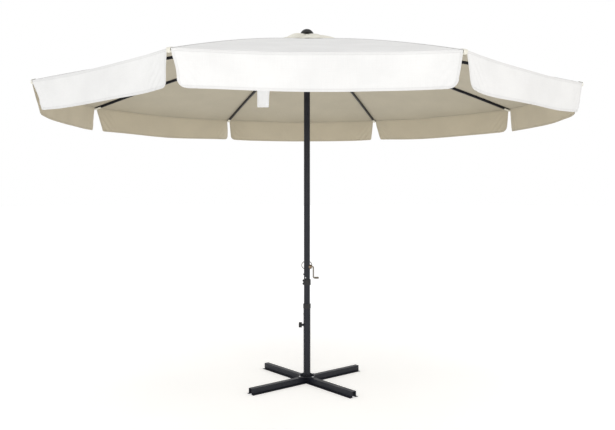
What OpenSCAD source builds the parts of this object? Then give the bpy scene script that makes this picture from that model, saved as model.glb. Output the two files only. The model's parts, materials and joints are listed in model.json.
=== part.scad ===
// Octagonal crank parasol, 4 m across its corners, on a two-piece mast in a cross base.
// Origin on the ground under the mast's axis, +Z up. Shown open.
// The base is square to X and Y with its legs on the diagonals, and the canopy is turned in it.

/* [Canopy] */
// Distance from the mast's axis to a corner of the canopy
canopy_r = 2000; // [1300:10:2400]
// Height of the canopy's corners above the ground
rim_h = 2244; // [2000:1:2700]
// Turn of the mast and the canopy in the base, in degrees
canopy_turn = 7.4; // [0:0.1:45]
// Thickness of the fabric
fabric_t = 1; // [0.5:0.1:2]
// Space between the ribs and the fabric
fabric_lift = 1.6; // [1.3:0.1:4]
// Space between neighbouring panels
seam_gap = 1; // [0.6:0.1:3]
// Height of the valance flaps
valance_h = 200; // [80:5:300]
// Rounding of a flap's lower corners
valance_round = 35; // [10:1:60]
// Distance of a flap's upper corners from the canopy's corners
valance_inset = 12; // [2:1:30]
// Further distance of a flap's lower corners from the canopy's corners
valance_taper = 22; // [0:1:60]
// Corner radius of the vent cap
vent_r = 300; // [200:5:420]
// Corner radius of the opening under the vent cap
vent_hole_r = 150; // [100:5:180]
// Rise of the vent cap's centre above the canopy's own peak
vent_rise = 39; // [15:1:60]
// Height of the vent cap's edge above the canopy
vent_gap = 8; // [4:1:20]
// Width of the care label
label_w = 118; // [40:1:160]
// Height of the care label
label_h = 172; // [60:1:220]
// Distance along the rib, from the mast's axis, to the care label
label_r = 1150; // [600:10:1200]
// Gap between the care label and the rib
label_gap = 4; // [2:1:40]
// Gap between the care label's top and the canopy
label_top_gap = 1; // [0.5:0.5:5]

/* [Ribs and struts] */
// Slope of a rib's chord when the canopy is open, in degrees
rib_slope = 12.7; // [10:0.1:20]
// Rise of a rib's middle above its chord
rib_bow = 22; // [5:1:30]
// Width of a rib's tube
rib_w = 12; // [11:1:20]
// Height of a rib's tube
rib_h = 20; // [18:1:32]
// Wall of a rib's tube
rib_wall = 1.2; // [0.8:0.1:2]
// Distance from a rib's end to the canopy's corner
rib_tip_gap = 15; // [12:1:40]
// Length of the plastic cap on a rib's end
rib_cap_len = 8; // [4:1:20]
// Distance along a rib's chord from the crown's pivot to the strut's pivot
strut_at = 750; // [500:10:900]
// Distance of the strut's pivot below the middle of the rib
strut_drop = 24; // [24:1:34]
// Width of a strut's tube
strut_w = 11; // [11:1:16]
// Height of a strut's tube
strut_h = 18; // [15:1:20]
// Wall of a strut's tube
strut_wall = 1.2; // [0.8:0.1:2]
// Thickness of the two cheeks that hold a strut to its rib
cheek_t = 2; // [1:0.5:4]
// Side play of a strut between its cheeks
cheek_play = 0.5; // [0.4:0.1:2]
// Rim of a cheek outside the strut's height
cheek_edge = 1; // [0.5:0.5:3]
// Distance of the crown's and the runner's pivots from the mast's surface
pivot_out = 36; // [32:1:50]
// Thickness of the tongues on the inner ends of the ribs and struts
tongue_w = 8; // [5:0.5:9]
// Radius of the tongues' round ends
tongue_r = 9; // [7:0.5:10]
// Side play of a tongue in its slot
tongue_play = 0.5; // [0.3:0.1:1]
// Play behind a tongue's round end
tongue_end_gap = 1; // [0.5:0.1:2]
// Distance from a pivot to the start of the tube
tube_start = 25; // [22:1:40]
// Length of the plug inside a tube's end
plug_len = 25; // [10:1:40]
// Play above and below the plug in a tube
plug_play = 0.5; // [0.3:0.1:1]
// Diameter of the pivot pins
pin_d = 5; // [3:0.5:7]
// Radial play of a pin in its tongue
pin_play = 0.05; // [0.02:0.01:0.1]
// Diameter of the heads of the pivot pins and the rivets
head_d = 9; // [8:0.5:12]
// Thickness of those heads
head_t = 1.5; // [1:0.5:3]

/* [Crown, runner and finial] */
// Width of rim left outside the crown's and the runner's pivots
hub_edge = 12; // [10:1:20]
// Thickness of the crown and of the runner's disc
hub_t = 22; // [18:1:30]
// Length of the mast above the crown's pivots
mast_over = 15; // [12:1:30]
// Length of the runner's sleeve below its pivots
runner_down = 45; // [30:1:90]
// Length of the runner's sleeve above its pivots
runner_up = 24; // [15:1:60]
// Wall of the runner's sleeve
runner_wall = 6; // [3:1:10]
// Radial play of the runner on the mast
runner_play = 0.4; // [0.3:0.1:1]
// Diameter of the runner's bottom flange
runner_flange_d = 75; // [70:1:110]
// Thickness of the runner's bottom flange
runner_flange_t = 9; // [5:1:14]
// Diameter of the finial
finial_d = 103; // [60:1:140]
// Height of the finial's dome
finial_h = 34; // [20:1:45]
// Diameter of the finial's stem
finial_stem_d = 30; // [16:1:40]
// Gap between the vent cap and the finial
cap_gap = 1; // [0.5:0.5:4]

/* [Mast] */
// Outer diameter of the mast
mast_d = 48; // [38:1:60]
// Wall of the mast
mast_wall = 1.5; // [1:0.1:3]
// Gap between the mast's foot and the plate
foot_gap = 1; // [0.5:0.5:5]
// Height of the joint between the mast's two halves
join_h = 792; // [720:1:860]
// Length of the spigot inside each half
spigot_len = 76; // [50:1:80]
// Wall of the spigot
spigot_wall = 2; // [1:0.1:3]
// Outer diameter of the joint's collar, beyond the mast's diameter
collar_extra = 12; // [6:1:20]
// Height of the joint's collar
collar_h = 44; // [30:1:60]
// Chamfer of the joint's collar
collar_chamfer = 2; // [0.5:0.5:3]
// Distance between the two screws of the collar
collar_pitch = 24; // [16:1:30]
// Height of the locking screw above the joint
lock_screw_up = 62; // [40:1:66]
// Diameter of the mast's screws
screw_d = 5; // [3:0.5:6]
// Diameter of the mast's screw heads
screw_head_d = 14; // [9:1:18]
// Height of the mast's screw heads
screw_head_h = 5; // [2:0.5:8]
// Height of the rivet above the joint
rivet_up = 37; // [30:1:60]
// Direction of the rivet round the mast, in degrees
rivet_angle = -117; // [-150:1:-30]
// Diameter of the heads of the rivet and of the base tube's screw
small_head_d = 10; // [8:0.5:12]

/* [Winch] */
// Height of the crank's axis
crank_h = 913; // [900:1:1100]
// Distance from the mast's surface to the middle of the crank's arm
crank_out = 27; // [26:1:40]
// Distance from the crank's axis to its grip's axis
crank_len = 87; // [60:1:100]
// Diameter of the crank's rod
crank_rod_d = 12; // [8:0.5:14]
// Bend radius of the crank's rod
crank_bend = 8; // [7:0.5:10]
// Diameter of the crank's grip
grip_d = 16; // [12:1:20]
// Length of the crank's grip
grip_len = 31; // [25:1:80]
// Diameter of the pin that the grip turns on
grip_pin_d = 7; // [5:0.5:7]
// Gap at each end of the grip
grip_gap = 0.5; // [0.3:0.1:1]
// Thickness of the button at the grip's end
grip_end_t = 2; // [1:0.5:4]
// Height of the grip's surface above the button's
grip_end_step = 1; // [0.5:0.5:3]
// Radial play of the grip on its pin, and of the crank in its bush
turn_play = 0.06; // [0.02:0.01:0.1]
// Length of the crank's shaft beyond the far side of the mast
shaft_past = 1; // [0.5:0.5:4]
// Radial play of the crank's shaft in the mast's wall
shaft_play = 0.5; // [0.3:0.1:1]
// Diameter of the winch's bush
bush_d = 32; // [22:1:40]
// Length of the winch's bush outside the mast
bush_len = 13; // [8:1:13]
// Rim of the bush's flange outside the bush
bush_flange_out = 3; // [1:0.5:5]
// Thickness of the bush's flange
bush_flange_t = 2; // [1:0.5:4]
// Diameter of the spool's drum
spool_drum_d = 20; // [15:1:24]
// Diameter of the spool's flanges
spool_flange_d = 32; // [27:1:34]
// Length of the spool
spool_len = 24; // [12:1:24]
// Thickness of the spool's flanges
spool_flange_t = 3; // [1:0.5:4]
// Diameter of the hoop's wire
hoop_wire_d = 7; // [4:0.5:8]
// Diameter of the lugs that hold the hoop
lug_d = 6; // [4:0.5:8]
// Gap between the mast and the hoop's wire
hoop_gap = 3; // [1:0.5:10]
// Distance of the hoop's ends beyond the mast's surface
hoop_out = 20; // [10:1:22]
// Overall height of the hoop
hoop_h = 68; // [50:1:76]
// Height of the hoop's middle above the crank's axis
hoop_up = 9; // [0:1:30]

/* [Base] */
// Length of each crossing beam
beam_len = 1090; // [700:10:1400]
// Height of the beams
beam_h = 46; // [30:1:60]
// Width of a beam's top
beam_top_w = 38; // [30:1:60]
// Width of a beam across its flanges
beam_flange_w = 82; // [70:1:110]
// Thickness of the beams' sheet
beam_t = 2; // [1.5:0.5:4]
// Play between the notched beams where they cross
notch_play = 0.5; // [0.3:0.1:2]
// Side of the square plate
plate_w = 125; // [118:1:180]
// Thickness of the plate
plate_t = 4; // [3:0.5:8]
// Distance between neighbouring plate bolts
bolt_pitch = 100; // [92:1:105]
// Diameter of the plate bolts
bolt_d = 8; // [6:1:10]
// Clearance of the bolt holes, on the diameter
bolt_clearance = 1; // [0.5:0.1:2]
// Width across the flats of the bolts' heads and nuts
bolt_flats = 13; // [13:1:17]
// Height of the bolts' heads and nuts
bolt_head_h = 5.5; // [4:0.5:8]
// Length of thread below the nuts
bolt_tail = 3; // [1:0.5:8]
// Wall of the base tube
tube_wall = 2; // [1.5:0.5:4]
// Height of the top of the base tube
tube_top = 615; // [500:1:650]
// Wall of the collar's inner skirt, between the tube and the mast
skirt_t = 1.1; // [0.8:0.1:3]
// Sliding play on each side of the inner skirt
skirt_play = 0.2; // [0.1:0.05:0.5]
// Depth of the collar's inner skirt
skirt_depth = 55; // [30:1:70]
// Depth of the collar's outer skirt
rim_depth = 28; // [15:1:40]
// Wall of the collar's outer skirt
rim_t = 2.2; // [1.5:0.1:4]
// Thickness of the collar's top
collar_top_t = 5; // [3:0.5:8]
// Play between the turning collar and the tube
collar_play = 0.3; // [0.3:0.1:1]
// Height of the lock knob's axis
knob_h = 452; // [300:1:480]
// Diameter of the lock knob
knob_d = 42; // [30:1:60]
// Thickness of the lock knob
knob_t = 26; // [12:1:30]
// Length of the knob's hub
knob_hub_t = 4; // [2:0.5:6]
// Rim of the knob's hub outside the stud
knob_hub_edge = 5; // [3:0.5:8]
// Thickness of the knob's face over the stud's end
knob_face_t = 4; // [2:0.5:6]
// Number of finger hollows round the lock knob
knob_lobes = 8; // [5:1:12]
// Diameter of the lock knob's threaded stud
stud_d = 8; // [6:1:10]
// Distance between the stud's tip and the mast
stud_tip_gap = 0.4; // [0.3:0.1:1]
// Length of the welded nut on the tube
weld_nut_len = 8; // [6:1:14]
// Width across the flats of the welded nut
weld_nut_flats = 17; // [15:1:22]
// Gap between the welded nut and the knob
knob_gap = 1.5; // [1:0.5:10]
// Height of the small screw in the tube's side
tube_screw_h = 539; // [490:1:580]
// Height of that screw's head
tube_screw_head_h = 3; // [1:0.5:5]
// Height of the gussets at the tube's foot
gusset_h = 22; // [20:1:80]
// Thickness of the gussets
gusset_t = 3; // [2:0.5:6]
// Height of a gusset's outer end
gusset_end_h = 5; // [2:0.5:10]
// Width of a gusset's top
gusset_top_w = 3; // [1:0.5:10]
// Distance from a gusset's end to the plate's edge
gusset_inset = 6; // [2:1:20]

/* [Hidden] */
SIDES = 8;

// Smoothness of ordinary round shapes, of large arcs, and of hexagons
FINE = 72;
LARGE_ARC = 1440;
HEX = 6;
// Extra length of every cutting tool, so that it passes its faces
CUT = 5;
// Gap between a panel's end and its flap
FLAP_GAP = 0.3;
// Gap between the lock stud's end and the knob's face
STUD_END_GAP = 0.1;

// Half the angle between neighbouring ribs
half_step = 180 / SIDES;
// The cheeks are let half-way into the rib's side walls
cheek_in = (rib_w - rib_wall) / 2;
mast_r = mast_d / 2;
pivot_r = mast_r + pivot_out;
hub_r = pivot_r + hub_edge;
slot_w = tongue_w + 2 * tongue_play;

// A rib is an arc over its chord, in a frame with x along the chord and the crown's pivot at 0
rib_len = (canopy_r - rib_tip_gap - pivot_r) / cos(rib_slope);
bow_r = pow(rib_len, 2) / (8 * rib_bow) + rib_bow / 2;
bow_centre_z = rib_bow - bow_r;
rib_end = rib_len - rib_cap_len;
function bow_tilt(x) = asin((x - rib_len / 2) / bow_r);
function bow_z(x) = bow_centre_z + bow_r * cos(bow_tilt(x));

// The strut's pivot on the rib, and the equal distance from it to the crown and to the runner
strut_z = bow_z(strut_at) - strut_drop;
strut_len = norm([strut_at, strut_z]);
strut_slope = rib_slope - atan2(strut_z, strut_at);

// Underside of the fabric over a rib: its height above the crown's pivots, at distance r
arc_r0 = pivot_r + rib_len / 2 * cos(rib_slope) + bow_centre_z * sin(rib_slope);
arc_z0 = bow_centre_z * cos(rib_slope) - rib_len / 2 * sin(rib_slope);
fabric_arc = bow_r + rib_h / 2 + fabric_lift;
function fabric_rise(r) = arc_z0 + sqrt(pow(fabric_arc, 2) - pow(r - arc_r0, 2));

crown_z = rim_h - fabric_t - fabric_rise(canopy_r);
runner_z = crown_z - 2 * strut_len * sin(strut_slope);
mast_top = crown_z + mast_over;
mast_foot = beam_h + plate_t + foot_gap;

// Middle line of a panel: an arc through its inner end, its middle and its outer end
apothem = canopy_r * cos(half_step);
panel_end = apothem - fabric_t - FLAP_GAP;
panel_mid_r = (vent_hole_r + canopy_r) / 2;
function panel_point(r) = [r * cos(half_step), crown_z + fabric_rise(r)];
function arc_centre(a, b, c) =
  let (ab = b - a, ac = c - a, turn = 2 * (ab.x * ac.y - ab.y * ac.x))
  a + [ac.y * (ab * ab) - ab.y * (ac * ac), ab.x * (ac * ac) - ac.x * (ab * ab)] / turn;
panel_c = arc_centre(panel_point(vent_hole_r), panel_point(panel_mid_r), panel_point(canopy_r));
panel_r = norm(panel_point(canopy_r) - panel_c);
function panel_angle(x) = acos((x - panel_c.x) / panel_r);

cap_rim_z = crown_z + fabric_rise(vent_r) + fabric_t + vent_gap;
cap_peak_z = crown_z + fabric_rise(0) + fabric_t + vent_rise;
cap_slope = (cap_peak_z - cap_rim_z) / vent_r;
cap_hole_r = finial_stem_d / 2 + cap_gap;
finial_z = cap_peak_z + fabric_t + cap_gap;

tube_in_r = mast_r + skirt_t + 2 * skirt_play;
tube_r = tube_in_r + tube_wall;
plate_top = beam_h + plate_t;
web_z = beam_h - beam_t;
knob_in = tube_r + weld_nut_len + knob_gap;
crank_reach = mast_r + crank_out;
hoop_w = 2 * (mast_r + hoop_out);
hoop_y = mast_r + hoop_wire_d / 2 + hoop_gap;
hoop_bend = (hoop_h - hoop_wire_d) / 2;
hoop_straight = hoop_w - hoop_h;

STEEL = [0.2, 0.21, 0.24];
ZINC = [0.75, 0.76, 0.78];
BLACK = [0.1, 0.1, 0.11];
CREAM = [0.93, 0.91, 0.84];
BRONZE = [0.4, 0.34, 0.28];

function rib_angle(i) = half_step * (2 * i - 1);
function gore_angle(i) = 2 * half_step * i;

module on_mast() { rotate([0, 0, canopy_turn]) children(); }
module on_beam(a) { rotate([0, 0, a]) children(); }
// A bar across y, centred
module across(r, len) { rotate([90, 0, 0]) cylinder(r = r, h = len, center = true, $fn = FINE); }
// A round bar along x, from x = a to x = b
module along(r, a, b) { translate([a, 0, 0]) rotate([0, 90, 0]) cylinder(r = r, h = b - a, $fn = FINE); }
module ring(r_out, r_in, z0, z1) {
  difference() {
    translate([0, 0, z0]) cylinder(r = r_out, h = z1 - z0, $fn = FINE);
    translate([0, 0, z0 - CUT]) cylinder(r = r_in, h = z1 - z0 + 2 * CUT, $fn = FINE);
  }
}
module hexagon(flats, len) { cylinder(d = flats / cos(30), h = len, $fn = HEX); }

// ---- Base ----

module beam_section() {
  difference() {
    union() {
      translate([-beam_top_w / 2, 0]) square([beam_top_w, beam_h]);
      translate([-beam_flange_w / 2, 0]) square([beam_flange_w, beam_t]);
    }
    translate([-beam_top_w / 2 + beam_t, -CUT]) square([beam_top_w - 2 * beam_t, web_z + CUT]);
  }
}
module beam_blank() {
  difference() {
    rotate([90, 0, 90]) linear_extrude(beam_len, center = true) beam_section();
    for (s = [-1, 1])
      translate([s * bolt_pitch / sqrt(2), 0, 0])
        cylinder(d = bolt_d + bolt_clearance, h = beam_h + CUT, $fn = FINE);
  }
}
// The first beam is notched from above and the second from below, and they interlock
module beam_a() {
  notch = beam_top_w + 2 * notch_play;
  color(STEEL) on_beam(45) difference() {
    beam_blank();
    translate([-notch / 2, -beam_flange_w, beam_h / 2]) cube([notch, 2 * beam_flange_w, beam_h]);
  }
}
module beam_b() {
  notch = beam_flange_w + 2 * notch_play;
  color(STEEL) on_beam(135) difference() {
    beam_blank();
    translate([-notch / 2, -beam_flange_w, -CUT])
      cube([notch, 2 * beam_flange_w, beam_h / 2 + notch_play + CUT]);
  }
}
module at_bolts() {
  for (x = [-1, 1], y = [-1, 1]) translate([x * bolt_pitch / 2, y * bolt_pitch / 2, 0]) children();
}
// Half a gusset's thickness lies each side of the tube's axis
module gusset() {
  reach = plate_w / 2 - gusset_inset;
  difference() {
    translate([0, gusset_t / 2, plate_top]) rotate([90, 0, 0]) linear_extrude(gusset_t)
      polygon([
        [0, 0], [reach, 0], [reach, gusset_end_h], [tube_r + gusset_top_w, gusset_h], [0, gusset_h]
      ]);
    cylinder(r = tube_r, h = plate_top + gusset_h + CUT, $fn = FINE);
  }
}
module base_plate() {
  color(STEEL) {
    difference() {
      translate([-plate_w / 2, -plate_w / 2, beam_h]) cube([plate_w, plate_w, plate_t]);
      at_bolts() cylinder(d = bolt_d + bolt_clearance, h = plate_top + CUT, $fn = FINE);
    }
    for (a = [0:90:270]) rotate([0, 0, a]) gusset();
  }
}
module plate_bolts() {
  color(ZINC) at_bolts() {
    translate([0, 0, plate_top]) hexagon(bolt_flats, bolt_head_h);
    translate([0, 0, web_z - bolt_head_h - bolt_tail])
      cylinder(d = bolt_d, h = plate_top - web_z + bolt_head_h + bolt_tail, $fn = FINE);
  }
}
module plate_nuts() {
  color(ZINC) at_bolts() translate([0, 0, web_z - bolt_head_h]) difference() {
    hexagon(bolt_flats, bolt_head_h);
    translate([0, 0, -CUT]) cylinder(d = bolt_d, h = bolt_head_h + 2 * CUT, $fn = FINE);
  }
}
// Everything that goes through the tube's side points along -X
module at_side(z) { translate([0, 0, z]) rotate([0, 0, 180]) children(); }
module base_tube() {
  color(STEEL) difference() {
    ring(tube_r, tube_in_r, plate_top, tube_top);
    at_side(knob_h) along((stud_d + bolt_clearance) / 2, mast_r, tube_r + CUT);
    at_side(tube_screw_h) along(screw_d / 2, mast_r, tube_r + CUT);
  }
}
module weld_nut() {
  color(ZINC) at_side(knob_h) difference() {
    translate([mast_r, 0, 0]) rotate([0, 90, 0])
      hexagon(weld_nut_flats, tube_r + weld_nut_len - mast_r);
    translate([0, 0, -weld_nut_flats]) cylinder(r = tube_r, h = 2 * weld_nut_flats, $fn = FINE);
    along(stud_d / 2 + turn_play, 0, tube_r + weld_nut_len + CUT);
  }
}
module lock_stud() {
  end = knob_in + knob_t - knob_face_t - STUD_END_GAP;
  color(ZINC) at_side(knob_h) along(stud_d / 2, mast_r + stud_tip_gap, end);
}
module lock_knob() {
  hollow_d = knob_d / 4;
  color(BLACK) at_side(knob_h) difference() {
    union() {
      along(knob_d / 2, knob_in + knob_hub_t, knob_in + knob_t);
      along(stud_d / 2 + knob_hub_edge, knob_in, knob_in + knob_hub_t);
    }
    along(stud_d / 2 + turn_play, 0, knob_in + knob_t - knob_face_t);
    for (k = [0:knob_lobes - 1])
      rotate([360 / knob_lobes * k, 0, 0]) translate([0, 0, knob_d / 2 + hollow_d / 4])
        along(hollow_d / 2, 0, knob_in + knob_t + CUT);
  }
}
module tube_collar() {
  rim_in = tube_r + collar_play;
  skirt_in = mast_r + skirt_play;
  color(BLACK) on_mast() rotate_extrude($fn = FINE) {
    translate([skirt_in, tube_top + collar_play])
      square([rim_in + rim_t - skirt_in, collar_top_t]);
    translate([skirt_in, tube_top - skirt_depth]) square([skirt_t, skirt_depth + collar_play]);
    translate([rim_in, tube_top - rim_depth]) square([rim_t, rim_depth + collar_play]);
  }
}
module tube_screw() {
  color(ZINC) at_side(tube_screw_h) {
    along(screw_d / 2, tube_in_r, tube_r);
    difference() {
      along(small_head_d / 2, tube_r - CUT, tube_r + tube_screw_head_h);
      translate([0, 0, -small_head_d]) cylinder(r = tube_r, h = 2 * small_head_d, $fn = FINE);
    }
  }
}

// ---- Mast ----

module mast_holes() {
  at_side(join_h + lock_screw_up) along(screw_d / 2, 0, mast_r + CUT);
  for (s = [-1, 1])
    at_side(join_h + s * collar_pitch / 2) along(screw_d / 2, 0, mast_r + CUT);
  rivet_place() along(screw_d / 2, 0, mast_r + CUT);
  translate([0, 0, crank_h]) along(crank_rod_d / 2 + shaft_play, -mast_r - CUT, mast_r + CUT);
}
module rivet_place() { translate([0, 0, join_h + rivet_up]) rotate([0, 0, rivet_angle]) children(); }
// The lower half carries the spigot that the upper half slips over
module lower_mast() {
  spigot_r = mast_r - mast_wall;
  color(STEEL) on_mast() {
    difference() {
      ring(mast_r, mast_r - mast_wall, mast_foot, join_h);
      mast_holes();
    }
    difference() {
      ring(spigot_r, spigot_r - spigot_wall, join_h - spigot_len, join_h + spigot_len);
      mast_holes();
    }
  }
}
module upper_mast() {
  color(STEEL) on_mast() difference() {
    ring(mast_r, mast_r - mast_wall, join_h, mast_top);
    mast_holes();
  }
}
module join_collar() {
  collar_r = (mast_d + collar_extra) / 2;
  face_r = collar_r - collar_chamfer;
  face_h = collar_h / 2;
  side_h = face_h - collar_chamfer;
  color(BLACK) on_mast() difference() {
    translate([0, 0, join_h]) rotate_extrude($fn = FINE)
      polygon([
        [mast_r, -face_h], [face_r, -face_h], [collar_r, -side_h],
        [collar_r, side_h], [face_r, face_h], [mast_r, face_h]
      ]);
    for (s = [-1, 1])
      at_side(join_h + s * collar_pitch / 2) along(screw_d / 2, 0, collar_r + CUT);
  }
}
// A screw from inside the wall to a round head that sits on the surface at distance r
module mast_screw(r) {
  along(screw_d / 2, mast_r - mast_wall - spigot_wall, r);
  difference() {
    along(screw_head_d / 2, r - CUT, r + screw_head_h);
    translate([0, 0, -screw_head_d]) cylinder(r = r, h = 2 * screw_head_d, $fn = FINE);
  }
}
module mast_screws() {
  color(BLACK) on_mast() {
    at_side(join_h + lock_screw_up) mast_screw(mast_r);
    for (s = [-1, 1])
      at_side(join_h + s * collar_pitch / 2) mast_screw((mast_d + collar_extra) / 2);
  }
}
module mast_rivet() {
  color(ZINC) on_mast() rivet_place() {
    along(screw_d / 2, mast_r - mast_wall - spigot_wall, mast_r);
    difference() {
      along(small_head_d / 2, mast_r - CUT, mast_r + head_t);
      translate([0, 0, -small_head_d]) cylinder(r = mast_r, h = 2 * small_head_d, $fn = FINE);
    }
  }
}

// ---- Winch ----

module at_crank() { on_mast() translate([0, 0, crank_h]) children(); }
module winch_bush() {
  color(BRONZE) at_crank() difference() {
    union() {
      along(bush_d / 2, 0, mast_r + bush_len);
      along(bush_d / 2 + bush_flange_out, 0, mast_r + bush_flange_t);
    }
    translate([0, 0, -bush_d]) cylinder(r = mast_r, h = 2 * bush_d, $fn = FINE);
    along(crank_rod_d / 2 + turn_play, -CUT, mast_r + bush_len + CUT);
  }
}
module spool() {
  color(ZINC) at_crank() rotate([0, 90, 0]) rotate_extrude($fn = FINE) {
    translate([crank_rod_d / 2, -spool_len / 2])
      square([(spool_drum_d - crank_rod_d) / 2, spool_len]);
    for (z = [-spool_len / 2, spool_len / 2 - spool_flange_t])
      translate([crank_rod_d / 2, z]) square([(spool_flange_d - crank_rod_d) / 2, spool_flange_t]);
  }
}
// A quarter turn of the crank's rod in the XZ plane, round a centre
module rod_bend(centre, from) {
  translate([centre.x, 0, centre.y]) rotate([90, 0, 0]) rotate([0, 0, from])
    rotate_extrude(angle = 90, $fn = FINE) translate([crank_bend, 0]) circle(d = crank_rod_d, $fn = FINE);
}
module crank_arm() {
  arm_x0 = crank_reach - crank_bend;
  arm_x1 = crank_reach + crank_bend;
  pin_end = arm_x1 + grip_len + 2 * grip_gap;
  color(ZINC) at_crank() {
    along(crank_rod_d / 2, -mast_r - shaft_past, arm_x0);
    rod_bend([arm_x0, -crank_bend], 0);
    translate([crank_reach, 0, crank_bend - crank_len])
      cylinder(d = crank_rod_d, h = crank_len - 2 * crank_bend, $fn = FINE);
    rod_bend([arm_x1, crank_bend - crank_len], 180);
    translate([0, 0, -crank_len]) {
      along(grip_pin_d / 2, arm_x1, pin_end);
      along(grip_d / 2 - grip_end_step, pin_end, pin_end + grip_end_t);
    }
  }
}
module crank_grip() {
  start = crank_reach + crank_bend + grip_gap;
  color(BLACK) at_crank() translate([0, 0, -crank_len]) rotate([0, 90, 0]) difference() {
    translate([0, 0, start]) cylinder(d = grip_d, h = grip_len, $fn = FINE);
    translate([0, 0, start - CUT])
      cylinder(r = grip_pin_d / 2 + turn_play, h = grip_len + 2 * CUT, $fn = FINE);
  }
}
module guard_hoop() {
  color(ZINC) at_crank() translate([0, hoop_y, hoop_up]) {
    rotate([90, 0, 0]) {
      for (s = [0, 180])
        rotate([0, 0, s]) translate([hoop_straight / 2, 0, 0]) rotate([0, 0, -90])
          rotate_extrude(angle = 180, $fn = FINE) translate([hoop_bend, 0])
            circle(d = hoop_wire_d, $fn = FINE);
      for (s = [-1, 1])
        translate([-hoop_straight / 2, s * hoop_bend, 0]) rotate([0, 90, 0])
          cylinder(d = hoop_wire_d, h = hoop_straight, $fn = FINE);
    }
    for (s = [-1, 1]) difference() {
      translate([0, 0, s * hoop_bend]) rotate([90, 0, 0]) cylinder(d = lug_d, h = hoop_y, $fn = FINE);
      translate([0, -hoop_y, s * hoop_bend - lug_d]) cylinder(r = mast_r, h = 2 * lug_d, $fn = FINE);
      translate([-hoop_wire_d, 0, s * hoop_bend]) rotate([0, 90, 0])
        cylinder(d = hoop_wire_d, h = 2 * hoop_wire_d, $fn = FINE);
    }
  }
}

// ---- Crown, runner and finial ----

// Slots for the tongues and holes for their pins, round a disc at the pivots' level
module hub_cuts() {
  for (i = [1:SIDES]) rotate([0, 0, rib_angle(i)]) {
    translate([pivot_r - tongue_r - tongue_end_gap, -slot_w / 2, -hub_t])
      cube([tongue_r + hub_edge + CUT, slot_w, 2 * hub_t]);
    translate([pivot_r, 0, 0]) across(pin_d / 2, slot_w + 2 * hub_edge);
  }
}
module hub_pins() {
  for (i = [1:SIDES]) rotate([0, 0, rib_angle(i)]) translate([pivot_r, 0, 0])
    across(pin_d / 2, slot_w + hub_edge);
}
module crown() {
  color(BLACK) on_mast() translate([0, 0, crown_z]) difference() {
    ring(hub_r, mast_r, -hub_t / 2, hub_t / 2);
    hub_cuts();
  }
}
module crown_pins() { color(ZINC) on_mast() translate([0, 0, crown_z]) hub_pins(); }
module runner() {
  bore_r = mast_r + runner_play;
  color(BLACK) on_mast() translate([0, 0, runner_z]) difference() {
    union() {
      ring(hub_r, bore_r, -hub_t / 2, hub_t / 2);
      ring(bore_r + runner_wall, bore_r, -runner_down, runner_up);
      ring(runner_flange_d / 2, bore_r, -runner_down, runner_flange_t - runner_down);
    }
    hub_cuts();
  }
}
module runner_pins() { color(ZINC) on_mast() translate([0, 0, runner_z]) hub_pins(); }
module finial() {
  dome_r = (pow(finial_d / 2, 2) + pow(finial_h, 2)) / (2 * finial_h);
  plug_r = mast_r - mast_wall;
  color(BLACK) on_mast() {
    translate([0, 0, finial_z]) intersection() {
      translate([0, 0, finial_h - dome_r]) sphere(r = dome_r, $fn = FINE);
      cylinder(d = finial_d + CUT, h = finial_h + CUT, $fn = FINE);
    }
    translate([0, 0, mast_top]) cylinder(d = finial_stem_d, h = finial_z - mast_top, $fn = FINE);
    translate([0, 0, mast_top - 2 * mast_over]) cylinder(r = plug_r, h = 2 * mast_over, $fn = FINE);
  }
}

// ---- Ribs and struts ----

module on_rib(i) {
  on_mast() rotate([0, 0, rib_angle(i)]) translate([pivot_r, 0, crown_z])
    rotate([0, rib_slope, 0]) children();
}
module on_bow(x) { translate([x, 0, bow_z(x)]) rotate([0, bow_tilt(x), 0]) children(); }
module box_section(h, w, wall) {
  difference() {
    square([h, w], center = true);
    square([h - 2 * wall, w - 2 * wall], center = true);
  }
}
// A round-ended tongue with a bored pivot at 0, and a plug that fits between a tube's side walls
module tongue(w, h, tube_w, bore_r) {
  plug_in = 2;
  difference() {
    union() {
      across(tongue_r, w);
      translate([0, -w / 2, -h / 2]) cube([tube_start + plug_in, w, h]);
      translate([tube_start + plug_in, -tube_w / 2, -h / 2]) cube([plug_len, tube_w, h]);
    }
    across(bore_r, tube_w + 2 * CUT);
  }
}
module headed_pin(half) {
  across(pin_d / 2, 2 * half);
  for (s = [-1, 1]) translate([0, s * (half + head_t / 2), 0]) across(head_d / 2, head_t);
}
module rib(i) {
  plug_h = min(2 * tongue_r, rib_h - 2 * (rib_wall + plug_play));
  // The cap ends half-way through the tube's wall
  cap_w = rib_w - rib_wall;
  cap_h = rib_h - rib_wall;
  color(STEEL) on_rib(i) {
    difference() {
      translate([rib_len / 2, 0, bow_centre_z]) rotate([90, 0, 0])
        rotate([0, 0, 90 - bow_tilt(rib_end)])
          rotate_extrude(angle = bow_tilt(rib_end) - bow_tilt(tube_start), $fn = LARGE_ARC)
            translate([bow_r, 0]) box_section(rib_h, rib_w, rib_wall);
      on_bow(strut_at) across(pin_d / 2, rib_w + CUT);
    }
    // The tongue lies along the rib's own inner end
    rotate([0, bow_tilt(tube_start), 0])
      tongue(tongue_w, plug_h, rib_w - 2 * rib_wall, pin_d / 2 + pin_play);
    for (s = [-1, 1]) rib_cheek(s * (cheek_in + cheek_t / 2));
  }
  color(ZINC) on_rib(i) {
    on_bow(strut_at) headed_pin(cheek_in + cheek_t);
    translate([strut_at, 0, strut_z]) headed_pin(cheek_in + cheek_t);
  }
  color(BLACK) on_rib(i) on_bow(rib_end)
    translate([0, -cap_w / 2, -cap_h / 2]) cube([rib_cap_len, cap_w, cap_h]);
}
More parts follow.
